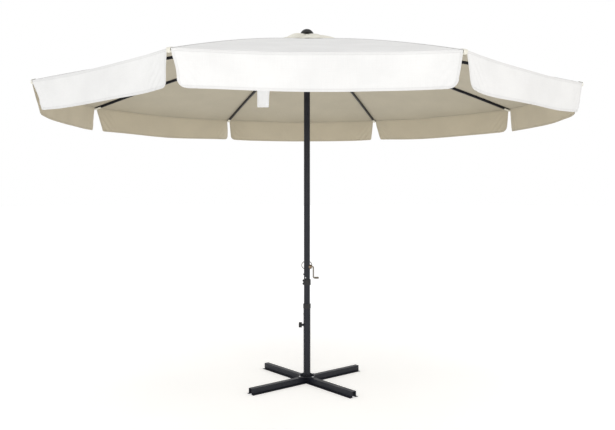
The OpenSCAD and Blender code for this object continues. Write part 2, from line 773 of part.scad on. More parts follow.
// A cheek reaches a quarter of the rib's height above the rib's middle
module rib_cheek(y) {
  cheek_r = strut_h / 2 + cheek_edge;
  difference() {
    union() {
      translate([strut_at, y, strut_z]) across(cheek_r, cheek_t);
      translate([strut_at - cheek_r, y - cheek_t / 2, strut_z])
        cube([2 * cheek_r, cheek_t, strut_drop + rib_h / 4]);
    }
    translate([strut_at, y, strut_z]) across(pin_d / 2, cheek_t + 2 * CUT);
    on_bow(strut_at) translate([0, y, 0]) across(pin_d / 2, cheek_t + 2 * CUT);
  }
}
module strut(i) {
  outer_w = 2 * (cheek_in - cheek_play);
  plug_h = strut_h - 2 * (strut_wall + plug_play);
  color(STEEL) on_mast() rotate([0, 0, rib_angle(i)]) translate([pivot_r, 0, runner_z])
    rotate([0, -strut_slope, 0]) {
      translate([tube_start, 0, 0]) rotate([0, 90, 0])
        linear_extrude(strut_len - 2 * tube_start) box_section(strut_h, strut_w, strut_wall);
      tongue(tongue_w, plug_h, strut_w - 2 * strut_wall, pin_d / 2 + pin_play);
      translate([strut_len, 0, 0]) mirror([1, 0, 0])
        tongue(outer_w, plug_h, strut_w - 2 * strut_wall, pin_d / 2 + pin_play);
    }
}

// ---- Fabric ----

function half_width(x) = x * tan(half_step) - seam_gap / 2 / cos(half_step);
module gore(i) {
  inner = vent_hole_r * cos(half_step);
  tall = crown_z + canopy_r;
  color(CREAM) on_mast() rotate([0, 0, gore_angle(i)]) intersection() {
    translate([panel_c.x, 0, panel_c.y]) rotate([90, 0, 0])
      rotate([0, 0, panel_angle(apothem + CUT)])
        rotate_extrude(angle = panel_angle(inner - CUT) - panel_angle(apothem + CUT), $fn = LARGE_ARC)
          translate([panel_r, -canopy_r]) square([fabric_t, 2 * canopy_r]);
    linear_extrude(tall) polygon([
      [inner, -half_width(inner)], [panel_end, -half_width(panel_end)],
      [panel_end, half_width(panel_end)], [inner, half_width(inner)]
    ]);
  }
}
module valance(i) {
  top = half_width(apothem - fabric_t) - valance_inset;
  low = top - valance_taper;
  color(CREAM) on_mast() rotate([0, 0, gore_angle(i)]) translate([apothem - fabric_t, 0, rim_h])
    rotate([90, 0, 90]) linear_extrude(fabric_t) {
      polygon([
        [-top, 0], [-low, valance_round - valance_h], [valance_round - low, -valance_h],
        [low - valance_round, -valance_h], [low, valance_round - valance_h], [top, 0]
      ]);
      for (s = [-1, 1])
        translate([s * (low - valance_round), valance_round - valance_h])
          circle(r = valance_round, $fn = FINE);
    }
}
// An eight-sided shallow cone over the opening, clear of the finial's stem
module cap_cone(r, top_z) {
  translate([0, 0, top_z - cap_slope * r]) rotate([0, 0, half_step])
    cylinder(r1 = r, r2 = 0, h = cap_slope * r, $fn = SIDES);
}
module vent_cap() {
  color(CREAM) on_mast() difference() {
    translate([0, 0, cap_rim_z]) intersection() {
      translate([0, 0, -cap_rim_z]) cap_cone(2 * vent_r, cap_peak_z + fabric_t);
      rotate([0, 0, half_step]) cylinder(r = vent_r, h = 2 * finial_h + vent_r, $fn = SIDES);
    }
    cap_cone(2 * vent_r, cap_peak_z);
    translate([0, 0, crown_z]) cylinder(r = cap_hole_r, h = vent_r, $fn = FINE);
  }
}
// The label hangs from the second panel, beside the third rib
module care_label() {
  label_i = 2;
  x = label_r * cos(half_step);
  rib_side = label_r * sin(half_step) - rib_w / 2 / cos(half_step) - label_gap;
  top_z = crown_z + fabric_rise(label_r) - label_top_gap;
  color("white") on_mast() rotate([0, 0, gore_angle(label_i)])
    translate([x - fabric_t / 2, rib_side - label_w, top_z - label_h])
      cube([fabric_t, label_w, label_h]);
}

beam_a();
beam_b();
base_plate();
base_tube();
plate_bolts();
plate_nuts();
weld_nut();
lock_stud();
lock_knob();
tube_collar();
tube_screw();
lower_mast();
upper_mast();
join_collar();
mast_screws();
mast_rivet();
winch_bush();
guard_hoop();
spool();
crank_arm();
crank_grip();
crown();
crown_pins();
finial();
runner();
runner_pins();
vent_cap();
care_label();
rib(1);  // rib_1
rib(2);  // rib_2
rib(3);  // rib_3
rib(4);  // rib_4
rib(5);  // rib_5
rib(6);  // rib_6
rib(7);  // rib_7
rib(8);  // rib_8
strut(1);  // strut_1
strut(2);  // strut_2
strut(3);  // strut_3
strut(4);  // strut_4
strut(5);  // strut_5
strut(6);  // strut_6
strut(7);  // strut_7
strut(8);  // strut_8
gore(1);  // gore_1
gore(2);  // gore_2
gore(3);  // gore_3
gore(4);  // gore_4
gore(5);  // gore_5
gore(6);  // gore_6
gore(7);  // gore_7
gore(8);  // gore_8
valance(1);  // valance_1
valance(2);  // valance_2
valance(3);  // valance_3
valance(4);  // valance_4
valance(5);  // valance_5
valance(6);  // valance_6
valance(7);  // valance_7
valance(8);  // valance_8
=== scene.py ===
import json
import math

import bpy
import numpy as np
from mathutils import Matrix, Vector


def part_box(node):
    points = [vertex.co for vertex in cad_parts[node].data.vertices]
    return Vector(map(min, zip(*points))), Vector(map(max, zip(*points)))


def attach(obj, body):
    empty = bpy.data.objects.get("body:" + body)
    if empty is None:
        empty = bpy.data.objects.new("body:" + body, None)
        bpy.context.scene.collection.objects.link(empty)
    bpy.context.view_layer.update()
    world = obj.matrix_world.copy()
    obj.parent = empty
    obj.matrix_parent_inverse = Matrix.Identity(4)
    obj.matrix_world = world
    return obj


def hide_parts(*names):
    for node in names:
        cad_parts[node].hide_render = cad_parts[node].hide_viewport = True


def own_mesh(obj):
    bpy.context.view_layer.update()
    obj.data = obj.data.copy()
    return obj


# A patio umbrella: finishes, fabric, a weld, the stage, lights and camera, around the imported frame.

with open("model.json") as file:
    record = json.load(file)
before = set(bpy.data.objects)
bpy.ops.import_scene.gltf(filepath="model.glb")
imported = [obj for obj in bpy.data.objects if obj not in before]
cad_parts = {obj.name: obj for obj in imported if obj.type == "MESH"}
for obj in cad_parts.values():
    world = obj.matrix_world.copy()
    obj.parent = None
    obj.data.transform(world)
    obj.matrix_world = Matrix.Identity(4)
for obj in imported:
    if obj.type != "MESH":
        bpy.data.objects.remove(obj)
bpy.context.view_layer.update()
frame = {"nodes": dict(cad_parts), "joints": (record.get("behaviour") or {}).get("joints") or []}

NODES = frame["nodes"]
SIDES = 8
HALF = math.pi / SIDES  # half of the angle between two ribs
TAN, COS, SIN = math.tan(HALF), math.cos(HALF), math.sin(HALF)
FOLD = "canopy_fold"
UP = np.array([0.0, 0.0, 1.0])

# ---------------------------------------------------------------- places from the CAD


def verts(node):
    """A node's vertices, one in each row."""
    data = NODES[node].data
    out = np.empty(3 * len(data.vertices))
    data.vertices.foreach_get("co", out)
    return out.reshape(-1, 3)


fold = next(j for j in frame["joints"] if j["name"] == FOLD)
# Panel 8's direction: half a side back from rib 1's, which its hinge gives
TURN = math.atan2(-fold["axis"][0], fold["axis"][1]) - HALF
CLOTH = 0.001  # thickness of the fabric


def gore_angle(i):
    return TURN + 2 * HALF * i


def rib_angle(i):
    return TURN + HALF * (2 * i - 1)


def outward(a):
    return np.array([math.cos(a), math.sin(a), 0.0])


def sideways(a):
    return np.array([-math.sin(a), math.cos(a), 0.0])


ON_EDGE = 1e-4  # a vertex this close to the rim's height is on the rim
out8, side8 = outward(gore_angle(8)), sideways(gore_angle(8))
g8, v8 = verts("gore_8"), verts("valance_8")
# The canopy's middle line: height over distance from the mast, on a panel's own centre line
profile = np.polyfit(g8 @ out8, g8[:, 2], 4)
RHO_IN, RHO_OUT = float((g8 @ out8).min()), float((v8 @ out8).max())
RIM_Z = float(v8[:, 2].max())
FLAP_H = RIM_Z - float(v8[:, 2].min())
# Half of a flap's width, at its top and at its lower edge
FLAP_TOP = float((v8 @ side8)[v8[:, 2] > RIM_Z - ON_EDGE].max())
FLAP_LOW = float((v8 @ side8)[v8[:, 2] < RIM_Z - FLAP_H / 2].max())
LIFT = RIM_Z - float(np.polyval(profile, RHO_OUT))  # from the middle line up to the rim
CAP_LOW, CAP_HIGH = (float(c.z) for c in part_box("vent_cap"))
cap_radii = np.hypot(*verts("vent_cap")[:, :2].T)
CAP_RHO = float(cap_radii.max()) * COS
STEM_R = float(cap_radii.min())


def skin(rho):
    """Height of the fabric's upper face over a rib's line, at a panel's own distance rho."""
    return np.polyval(profile, rho) + LIFT


# ---------------------------------------------------------------- materials


MIX_A, MIX_B, MIX_OUT = 6, 7, 2  # a Mix node's colour sockets


class Nodes:
    """Builds a material's nodes with short calls."""

    def __init__(self, name):
        self.mat = bpy.data.materials.new(name)
        self.mat.use_nodes = True
        self.tree = self.mat.node_tree
        self.shader = self.tree.nodes["Principled BSDF"]

    def put(self, kind, values=None, **settings):
        n = self.tree.nodes.new(kind)
        for k, v in settings.items():
            setattr(n, k, v)
        for k, v in (values or {}).items():
            self.set(n, k, v)
        return n

    def set(self, n, key, value):
        if isinstance(value, bpy.types.NodeSocket):
            self.tree.links.new(value, n.inputs[key])
        else:
            n.inputs[key].default_value = value

    def math(self, operation, a, b=0.0):
        return self.put("ShaderNodeMath", {0: a, 1: b}, operation=operation).outputs[0]

    def ramp(self, value, low, high, to_low=0.0, to_high=1.0):
        values = {"Value": value, "From Min": low, "From Max": high}
        values |= {"To Min": to_low, "To Max": to_high}
        return self.put("ShaderNodeMapRange", values, interpolation_type="SMOOTHSTEP").outputs[0]

    def noise(self, where, scale, detail=3.0, rough=0.5):
        return self.put(
            "ShaderNodeTexNoise",
            {"Vector": where, "Scale": scale, "Detail": detail, "Roughness": rough},
        ).outputs["Fac"]

    def place(self):
        return self.put("ShaderNodeTexCoord").outputs["Object"]

    def stretched(self, where, scale):
        return self.put("ShaderNodeMapping", {"Vector": where, "Scale": scale}).outputs[0]

    def mix(self, share, a, b):
        n = self.put("ShaderNodeMix", data_type="RGBA")
        self.set(n, 0, share)
        for key, value in ((MIX_A, a), (MIX_B, b)):
            self.set(n, key, value if isinstance(value, bpy.types.NodeSocket) else (*value, 1.0))
        return n.outputs[MIX_OUT]

    def bump(self, height, strength, distance, normal=None):
        values = {"Strength": strength, "Distance": distance, "Height": height}
        n = self.put("ShaderNodeBump", values)
        if normal is not None:
            self.set(n, "Normal", normal)
        return n.outputs[0]

    def uv(self, name):
        n = self.put("ShaderNodeUVMap", uv_map=name)
        s = self.put("ShaderNodeSeparateXYZ", {0: n.outputs[0]})
        return s.outputs[0], s.outputs[1], n.outputs[0]

    def base(self, **values):
        for key, value in values.items():
            self.set(self.shader, key.replace("_", " "), value)


def scaled(colour, k):
    """A colour made lighter or darker."""
    return tuple(min(1.0, c * k) for c in colour)


THREAD = 0.0011  # distance between threads
STITCH = 0.0062  # distance between stitches
STITCH_SHARE = 0.66  # share of that distance which the thread covers
STITCH_ROWS = (0.0045, 0.0125)  # distance of the stitch rows from a sewn edge
STITCH_HALF = 0.0009  # half the width of a stitch row
HEM = 0.017  # width of a hem
HEM_STEP = 0.0015  # width of the step down from a hem
HEM_TONE, STITCH_TONE = 0.955, 0.86  # how much darker hems and stitches are


def fabric(name, colour, sheen=0.25, blotch=0.035, painted_glow=0.0):
    """Woven polyester: threads, slubs, soft creases, hems and rows of stitches, painted shade between
    the threads, and a painted glow where asked.
    """
    t = Nodes(name)
    u, v, uv = t.uv("weave")
    e, along, _ = t.uv("edge")
    wave_u = t.math("SINE", t.math("MULTIPLY", u, math.pi / THREAD))
    wave_v = t.math("SINE", t.math("MULTIPLY", v, math.pi / THREAD))
    over = t.math("GREATER_THAN", t.math("MULTIPLY", wave_u, wave_v), 0.0)
    warp = t.math("MULTIPLY", t.math("ABSOLUTE", wave_u), over)
    weft = t.math("MULTIPLY", t.math("ABSOLUTE", wave_v), t.math("SUBTRACT", 1.0, over))
    weave = t.math("ADD", warp, weft)
    slub_u = t.noise(t.stretched(uv, (9.0, 420.0, 1.0)), 1.0, 2.0)
    slub_v = t.noise(t.stretched(uv, (420.0, 9.0, 1.0)), 1.0, 2.0)
    slub = t.math("ADD", slub_u, slub_v)
    soft = t.noise(uv, 3.1, 4.0)
    crease = t.noise(uv, 17.0, 3.0, 0.45)
    rows = 0.0
    for row in STITCH_ROWS:
        off = t.math("ABSOLUTE", t.math("SUBTRACT", e, row))
        near = t.math("LESS_THAN", off, STITCH_HALF)
        rows = near if rows == 0.0 else t.math("MAXIMUM", rows, near)
    dash = t.math("LESS_THAN", t.math("FRACT", t.math("DIVIDE", along, STITCH)), STITCH_SHARE)
    stitch = t.math("MULTIPLY", rows, dash)
    hem = t.ramp(e, HEM - HEM_STEP, HEM, 1.0, 0.0)
    tone = t.ramp(soft, 0.3, 0.7, 1.0 - blotch, 1.0 + blotch)
    tone = t.math("MULTIPLY", tone, t.ramp(slub, 0.7, 1.3, 0.985, 1.015))
    # Painted shade: the cloth is darker where the weave is low, between the threads.
    tone = t.math("MULTIPLY", tone, t.ramp(weave, 0.0, 1.0, 0.96, 1.01))
    tone = t.math("MULTIPLY", tone, t.ramp(hem, 0.0, 1.0, 1.0, HEM_TONE))
    tone = t.math("MULTIPLY", tone, t.ramp(stitch, 0.0, 1.0, 1.0, STITCH_TONE))
    hsv = t.put("ShaderNodeHueSaturation", {"Value": tone, "Color": (*colour, 1.0)})
    normal = t.bump(crease, 0.35, 0.004)
    normal = t.bump(t.math("ADD", hem, t.math("MULTIPLY", stitch, -0.7)), 0.5, 0.0008, normal)
    normal = t.bump(weave, 0.25, 0.00025, normal)
    t.base(Base_Color=hsv.outputs[0], Normal=normal)
    t.base(Roughness=t.ramp(slub, 0.6, 1.4, 0.86, 0.74))
    t.base(Sheen_Weight=sheen, Sheen_Roughness=0.45, IOR=1.45, Specular_IOR_Level=0.28)
    # Painted light: a faint cool glow, so the cloth reads brighter than its lighting makes it.
    if painted_glow:
        t.base(Emission_Color=(0.90, 0.94, 1.0, 1.0), Emission_Strength=painted_glow)
    return t.mat


def edge_wear(t, radius, low=0.02, high=0.25):
    """1 along a part's outer edges and 0 on its faces, broken up by noise."""
    bevel = t.put("ShaderNodeBevel", {"Radius": radius}, samples=4)
    flat = t.put("ShaderNodeNewGeometry").outputs["Normal"]
    dot = t.put("ShaderNodeVectorMath", {0: bevel.outputs[0], 1: flat}, operation="DOT_PRODUCT")
    edge = t.math("SUBTRACT", 1.0, dot.outputs["Value"])
    spots = t.ramp(t.noise(t.place(), 38.0, 5.0, 0.65), 0.42, 0.62)
    return t.math("MULTIPLY", t.ramp(edge, low, high), spots)


def powder_coat(name, colour, worn):
    """Powder-coated steel: orange peel, a little dust and rubbing, and worn edges."""
    t = Nodes(name)
    where = t.place()
    peel = t.noise(where, 620.0, 2.0)
    grain = t.noise(where, 2600.0, 1.0)
    cloud = t.noise(where, 7.0, 5.0, 0.6)
    dust = t.ramp(t.noise(where, 46.0, 6.0, 0.7), 0.5, 0.78)
    rub = t.ramp(t.noise(t.stretched(where, (34.0, 34.0, 3.0)), 1.0, 6.0, 0.7), 0.56, 0.74)
    paint = t.mix(t.ramp(cloud, 0.3, 0.7), scaled(colour, 0.88), scaled(colour, 1.14))
    paint = t.mix(t.math("MULTIPLY", dust, 0.06), paint, (0.20, 0.20, 0.21))
    paint = t.mix(t.math("MULTIPLY", rub, 0.04), paint, (0.26, 0.27, 0.30))
    paint = t.mix(t.math("MULTIPLY", edge_wear(t, 0.0012), 0.55), paint, worn)
    normal = t.bump(peel, 0.22, 0.0006)
    normal = t.bump(grain, 0.08, 0.0002, normal)
    rough = t.math("ADD", t.ramp(cloud, 0.3, 0.7, 0.36, 0.48), t.math("MULTIPLY", dust, 0.14))
    t.base(Base_Color=paint, Roughness=rough, Normal=normal)
    t.base(IOR=1.45, Specular_IOR_Level=0.35, Coat_Weight=0.06, Coat_Roughness=0.35)
    return t.mat


def metal(name, colour, rough, grain_scale, spangle=0.0, stain=(0.30, 0.27, 0.24)):
    """Bare or plated metal: fine scratches, spangles, stains and brighter worn edges."""
    t = Nodes(name)
    where = t.place()
    grain = (grain_scale, grain_scale, grain_scale / 25)
    scratch = t.noise(t.stretched(where, grain), 1.0, 4.0)
    crystal = t.put("ShaderNodeTexVoronoi", {"Vector": where, "Scale": 260.0})
    facet = t.put("ShaderNodeSeparateXYZ", {0: crystal.outputs["Color"]}).outputs[0]
    blot = t.ramp(t.noise(where, 55.0, 5.0, 0.65), 0.55, 0.75)
    light = t.mix(t.math("MULTIPLY", facet, spangle), scaled(colour, 0.9), scaled(colour, 1.12))
    light = t.mix(t.math("MULTIPLY", blot, 0.18), light, stain)
    light = t.mix(t.math("MULTIPLY", edge_wear(t, 0.0008), 0.5), light, scaled(colour, 1.3))
    normal = t.bump(scratch, 0.12, 0.0002)
    gloss = t.ramp(scratch, 0.3, 0.7, rough, rough + 0.12)
    gloss = t.math("ADD", gloss, t.math("MULTIPLY", blot, 0.12))
    t.base(Base_Color=light, Metallic=1.0, Roughness=gloss, Normal=normal)
    return t.mat


def moulded(name, colour):
    """Moulded plastic with a fine grain, dull worn edges and a little dust."""
    t = Nodes(name)
    where = t.place()
    pebble = t.put("ShaderNodeTexVoronoi", {"Vector": where, "Scale": 1500.0})
    cloud = t.noise(where, 22.0, 4.0, 0.6)
    dust = t.ramp(t.noise(where, 70.0, 6.0, 0.7), 0.52, 0.8)
    tint = t.mix(t.ramp(cloud, 0.3, 0.7), scaled(colour, 0.85), scaled(colour, 1.25))
    tint = t.mix(t.math("MULTIPLY", dust, 0.08), tint, (0.3, 0.29, 0.27))
    tint = t.mix(t.math("MULTIPLY", edge_wear(t, 0.001), 0.35), tint, (0.16, 0.16, 0.165))
    normal = t.bump(pebble.outputs["Distance"], 0.2, 0.0003)
    rough = t.ramp(cloud, 0.3, 0.7, 0.44, 0.58)
    t.base(Base_Color=tint, Roughness=rough, Normal=normal, IOR=1.46)
    return t.mat


CREAM_OUT = fabric("canopy_fabric_outer", (0.80, 0.797, 0.788))
CREAM_CAP = fabric("canopy_fabric_vent", (0.84, 0.815, 0.72))
# Painted shade: the inner faces are darker, warmer copies of the cream cloth, standing in for the
# shade under the canopy and the warm light through the cloth.
CREAM_IN_SHADED = fabric("canopy_fabric_inner", (0.42, 0.38, 0.292), sheen=0.12)
FLAP_IN_SHADED = fabric("canopy_fabric_flap_inner", (0.60, 0.542, 0.422), sheen=0.12)
# Painted light: the label glows a little, brighter than its lighting.
LABEL = fabric("label_fabric_satin", (0.93, 0.94, 0.96), sheen=0.4, blotch=0.02, painted_glow=0.30)
PAINT = powder_coat("frame_paint_anthracite", (0.0095, 0.0108, 0.0175), (0.12, 0.12, 0.13))
ZINC = metal("zinc_plated_steel", (0.62, 0.63, 0.65), 0.30, 900.0, spangle=0.6)
BRIGHT = metal("bright_bent_rod", (0.30, 0.275, 0.24), 0.26, 1500.0)
STEEL = metal("bright_guard_wire", (0.42, 0.40, 0.37), 0.2, 1500.0)
DULL = metal("dull_plated_grip", (0.20, 0.175, 0.145), 0.36, 1100.0, stain=(0.12, 0.10, 0.08))
BRONZE = metal("bronze_bush", (0.27, 0.20, 0.14), 0.34, 700.0, stain=(0.10, 0.07, 0.05))
BLACK = moulded("black_plastic_moulded", (0.012, 0.012, 0.013))

FINISH = {
    "frame_paint": PAINT,
    "zinc_steel": ZINC,
    "bright_steel": BRIGHT,
    "black_plastic": BLACK,
    "bronze": BRONZE,
}
# Parts that look unlike the rest of their material
OWN_FINISH = {"crank_grip": DULL, "weld_nut": PAINT, "guard_hoop": STEEL}

for name, obj in NODES.items():
    for place in obj.material_slots:
        old = place.material.name if place.material else ""
        kind = next((f for f in FINISH if old.startswith(f)), None)
        if kind:
            place.material = OWN_FINISH.get(name, FINISH[kind])

# ---------------------------------------------------------------- fabric pieces


def make(name, points, faces, kinds, materials, uvs, body, slot="canopy_fabric", sharp=50):
    """A smooth mesh object that rides on a body. Edges bent by over sharp degrees stay sharp."""
    mesh = bpy.data.meshes.new(name)
    mesh.from_pydata(points.tolist(), [], faces)
    for m in materials:
        mesh.materials.append(m)
    mesh.polygons.foreach_set("material_index", kinds)
    mesh.polygons.foreach_set("use_smooth", [True] * len(faces))
    index = np.empty(len(mesh.loops), int)
    mesh.loops.foreach_get("vertex_index", index)
    for layer, values in uvs.items():
        mesh.uv_layers.new(name=layer).data.foreach_set("uv", values[index].ravel())
    mesh.set_sharp_from_angle(angle=math.radians(sharp))
    mesh.update()
    obj = bpy.data.objects.new(name, mesh)
    bpy.context.collection.objects.link(obj)
    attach(obj, body)
    return obj


def grid_normals(p):
    n = np.cross(np.gradient(p, axis=1), np.gradient(p, axis=0))
    return n / np.maximum(np.linalg.norm(n, axis=2, keepdims=True), 1e-12)


def shell(name, p, weave, edge, body, materials=None, outer=1.0, thick=CLOTH, **more):
    """A closed sheet: p[j, i] lies on its outer face.

    outer is +1 or -1, the side of the grid's normal. weave and edge are UV maps in metres: a place
    on the cloth, and a distance from the nearest sewn edge with a place along it.
    """
    nj, ni = p.shape[:2]
    n = grid_normals(p) * outer
    points = np.concatenate([p.reshape(-1, 3), (p - n * thick).reshape(-1, 3)])
    back = nj * ni
    faces, kinds = [], []
    for j in range(nj - 1):
        for i in range(ni - 1):
            a, b = j * ni + i, j * ni + i + 1
            c, d = b + ni, a + ni
            front = (a, b, c, d) if outer > 0 else (d, c, b, a)
            faces += [front, tuple(back + x for x in reversed(front))]
            kinds += [0, 1]
    rim = (
        [(0, i) for i in range(ni)]
        + [(j, ni - 1) for j in range(1, nj)]
        + [(nj - 1, i) for i in reversed(range(ni - 1))]
        + [(j, 0) for j in reversed(range(nj - 1))]
    )
    for (j0, i0), (j1, i1) in zip(rim, rim[1:]):
        a, b = j0 * ni + i0, j1 * ni + i1
        faces.append((b, a, back + a, back + b) if outer > 0 else (a, b, back + b, back + a))
        kinds.append(0)
    uvs = {
        layer: np.concatenate([x.reshape(-1, 2), x.reshape(-1, 2)])
        for layer, x in (("weave", weave), ("edge", edge))
    }
    materials = materials or [CREAM_OUT, CREAM_IN_SHADED]
    return make(name, points, faces, kinds, materials, uvs, body, **more)


def pair(a, b):
    return np.stack([a, b], axis=2)


def packed(n, power):
    """n numbers from -1 to 1, closer together towards both ends."""
    x = np.linspace(-1, 1, n)
    return np.sin(x * math.pi / 2) * (1 - 1 / power) + x / power


SAG = 0.018  # how far a panel's edge hangs below the ribs' line, in its middle
SCALLOP = -0.006  # how far it is pulled in there; below 0 it bows out, to keep near the closed flap
# Heights of the puckers along a seam, the folds across a panel and the pulls from its corners
PUCKER, DRAPE, PULL = 0.0007, 0.0016, 0.0012


def panel_seed(i):
    return (i * 0.37) % 1


def gore_surface(rho, s, seed):
    """Height of a panel's upper face, sagging between its ribs, with soft tension creases."""
    share = rho / RHO_OUT
    sag = SAG * share**1.3 * (1 - np.abs(s) ** 2.2)
    side = rho * TAN * (1 - np.abs(s))
    phase = 2 * math.pi * seed
    pucker = PUCKER * np.exp(-side / 0.05) * np.sin(rho * 105 + phase) * (side > 0.002)
    drape = (
        DRAPE * share * (1 - s**2)
        * np.sin(5.5 * s + 2.3 * phase) * np.sin(3.1 * share * math.pi + phase)
    )
    corner = np.sqrt((RHO_OUT - rho) ** 2 + side**2)
    fan = np.arctan2(side, np.maximum(RHO_OUT - rho, 1e-6))
    ring = np.exp(-((corner - 0.16) / 0.11) ** 2)
    pull = PULL * np.sin(fan * 16 + phase) * ring * (1 - np.abs(s) ** 6)
    return skin(rho) - sag + pucker + drape + pull


def gore(i):
    """A main panel, from the vent to the rim, between two ribs."""
    a = gore_angle(i)
    nj, ni = 64, 57
    v = np.linspace(0, 1, nj)[:, None] * np.ones((1, ni))
    s = packed(ni, 1.6)[None, :] * np.ones((nj, 1))
    end = RHO_OUT - SCALLOP * (1 - s**2)
    rho = RHO_IN + (end - RHO_IN) * v
    z = gore_surface(rho, s, panel_seed(i))
    y = rho * TAN * s
    p = rho[..., None] * outward(a) + y[..., None] * sideways(a) + z[..., None] * UP
    side = rho * TAN * (1 - np.abs(s)) * COS
    rim = end - rho
    hole = rho - RHO_IN
    near = np.minimum(np.minimum(side, rim), hole)
    along = np.where(side <= np.minimum(rim, hole), rho, y)
    weave, edge = pair(y, rho), pair(near, along)
    piece = shell(f"canopy_panel_{i}", p, weave, edge, f"gore_{i}", outer=-1.0)
    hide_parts(f"gore_{i}")
    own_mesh(piece)


# How each end of a flap hangs, first the end at its own rib and then the end at the next one:
# how far its lower corner is drawn in, its rounding, how far the corner swings out, and a bend
# of its side
ENDS = {
    1: ((0.010, 0.055, -0.010, 0.000), (0.050, 0.020, 0.012, 0.000)),
    2: ((0.018, 0.016, 0.006, 0.000), (0.014, 0.040, -0.006, 0.000)),
    3: ((-0.018, 0.030, 0.010, -0.004), (0.066, 0.014, 0.016, 0.004)),
    4: ((0.004, 0.030, 0.014, 0.014), (0.030, 0.040, -0.040, 0.000)),
    5: ((0.062, 0.070, -0.055, 0.010), (-0.016, 0.026, 0.014, 0.006)),
    6: ((0.026, 0.058, 0.014, 0.008), (0.024, 0.055, 0.018, 0.000)),
    7: ((-0.016, 0.034, 0.024, 0.010), (0.034, 0.055, -0.012, 0.000)),
    8: ((0.010, 0.022, -0.034, 0.000), (0.004, 0.022, 0.010, 0.000)),
}


# A flap's waves: the angle they turn in a metre of its width, and their height in mm
FLAP_WAVES = ((5.0, 3.2), (8.7, 2.6), (14.3, 1.6), (23.0, 0.8))
SWING_REACH = 0.20  # how far from a corner its swing begins
CORNER_FOLD = 0.0022  # height of the slanting folds beside a corner
FLAP_GAP = 0.0012  # how far a flap stands outside its panel's edge
FLAP_FLARE = 0.004  # how much further out its lower edge hangs


def flap(i):
    """A hanging flap. Its top follows the panel's edge, and its round lower corners curl."""
    a, seed = gore_angle(i), (i * 0.61) % 1
    nj, ni = 40, 121
    t = np.linspace(0, 1, nj)
    t = (t + np.sin(t * math.pi / 2)) / 2
    depth = t * FLAP_H
    sides = []
    for drawn, rounding, _, bend in ENDS[i]:
        turn = np.clip(depth - (FLAP_H - rounding), 0, rounding)
        straight = FLAP_TOP - drawn * np.minimum(depth / (FLAP_H - rounding), 1) ** 1.2
        straight = straight - bend * np.sin(math.pi * t) ** 2
        sides.append(straight - rounding + np.sqrt(np.maximum(rounding**2 - turn**2, 0)))
    s = packed(ni, 2.2)[None, :] * np.ones((nj, 1))
    y = np.where(s < 0, s * sides[0][:, None], s * sides[1][:, None])
    d = depth[:, None] * np.ones((1, ni))
    share = d / FLAP_H
    s_top = y / (RHO_OUT * TAN)
    rho = RHO_OUT - SCALLOP * (1 - s_top**2)
    z = gore_surface(rho, s_top, panel_seed(i)) - d
    phase = 2 * math.pi * seed
    wave = np.zeros_like(y)
    for k, size in FLAP_WAVES:
        wave += size * 1e-3 * np.sin(k * y + phase * k) * share**1.3
    for sign, (_, _, swing, _) in zip((-1, 1), ENDS[i]):
        near = np.clip((sign * y - FLAP_LOW + SWING_REACH) / SWING_REACH, 0, 1.2)
        wave += swing * near**2 * share**1.5
        fold_line = (sign * y - FLAP_LOW) * 0.75 + (d - FLAP_H) * 0.66
        window = np.exp(-((sign * y - FLAP_LOW + 0.07) / 0.07) ** 2)
        wave += CORNER_FOLD * np.sin(fold_line * 150 + phase + sign) * window * share**0.7
    rho = rho + wave + FLAP_GAP + FLAP_FLARE * share
    z = z + 0.0016 * (1 - share) ** 6 + 0.002 * share**2 * np.sin(6.2 * y + phase)
    p = rho[..., None] * outward(a) + y[..., None] * sideways(a) + z[..., None] * UP
    to_side = np.minimum(y + sides[0][:, None], sides[1][:, None] - y)
    near = np.minimum(np.minimum(to_side, FLAP_H - d), d)
    along = np.where(to_side <= np.minimum(FLAP_H - d, d), d, y)
    piece = shell(
        f"canopy_flap_{i}", p, pair(y, d), pair(near, along), f"valance_{i}",
        [CREAM_OUT, FLAP_IN_SHADED], outer=-1.0,
    )
    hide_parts(f"valance_{i}")
    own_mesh(piece)


PUFF = 0.046  # how far the vent cap billows up
CAP_SINK = 0.022  # how far it lies below the CAD's cap where it doesn't billow
CAP_GAP = 0.0025  # how far it stays above the panels
CAP_SCALLOP = 0.006  # how far its edge is pulled in between the ribs
# Where it billows: the direction, half the width in degrees, and the share of PUFF
BILLOWS = (
    (241, 15, 1.0), (275, 9, 0.45), (301, 14, 0.8), (346, 20, 0.9), (32, 17, 0.7),
    (78, 19, 0.9), (124, 15, 0.65), (163, 16, 0.9), (205, 14, 0.75),
)


